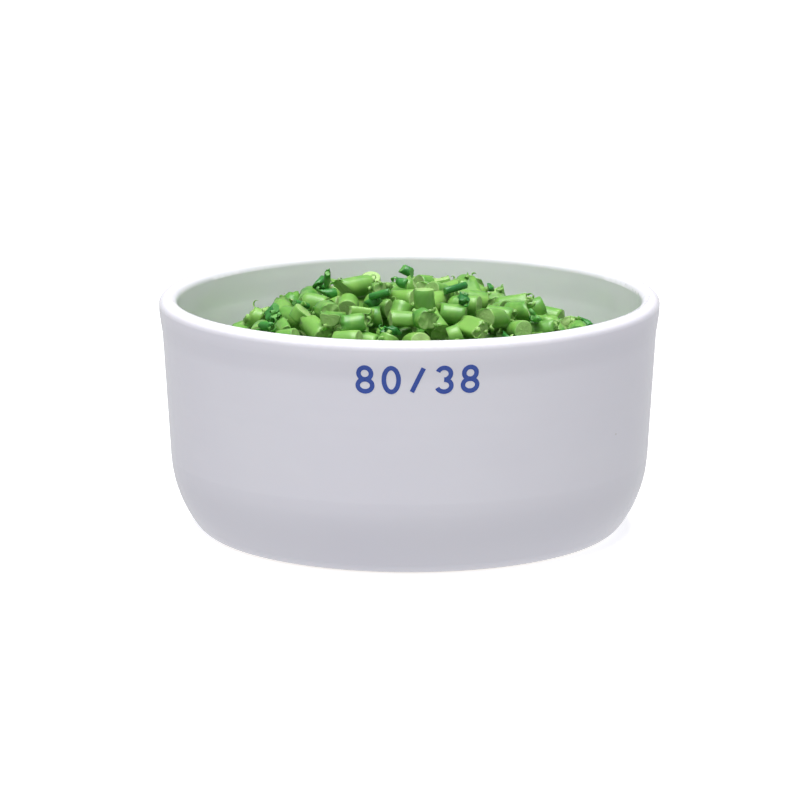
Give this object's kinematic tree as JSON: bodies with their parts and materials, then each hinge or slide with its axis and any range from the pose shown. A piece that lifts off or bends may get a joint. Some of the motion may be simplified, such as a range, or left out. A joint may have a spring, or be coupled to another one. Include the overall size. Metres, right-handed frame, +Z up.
{
  "type": "crystallizing dish",
  "caption": "Round flat-bottomed porcelain laboratory dish with a rounded lip, heaped with loose cut plastic granules.",
  "frame": {"origin": "centre of the underside, on the plane of the foot ring", "axes": "+Z up along the dish's axis; the printed size number faces -Y"},
  "size_m": [0.08, 0.08, 0.0407],
  "materials": {
    "porcelain": "gloss",
    "green_plastic": "satin"
  },
  "bodies": {
    "dish": {"dish": "porcelain"},
    "charge": {"granule_bed": "green_plastic", "whole_granules": "green_plastic", "slant_cut_granules": "green_plastic", "split_granules": "green_plastic", "thin_slices": "green_plastic", "crumbs": "green_plastic", "slivers": "green_plastic"}
  },
  "joints": [
    {"name": "charge_lift", "type": "slide", "parent": "dish", "child": "charge", "axis": [0, 0, 1], "range_m": [0, 0.06]}
  ]
}
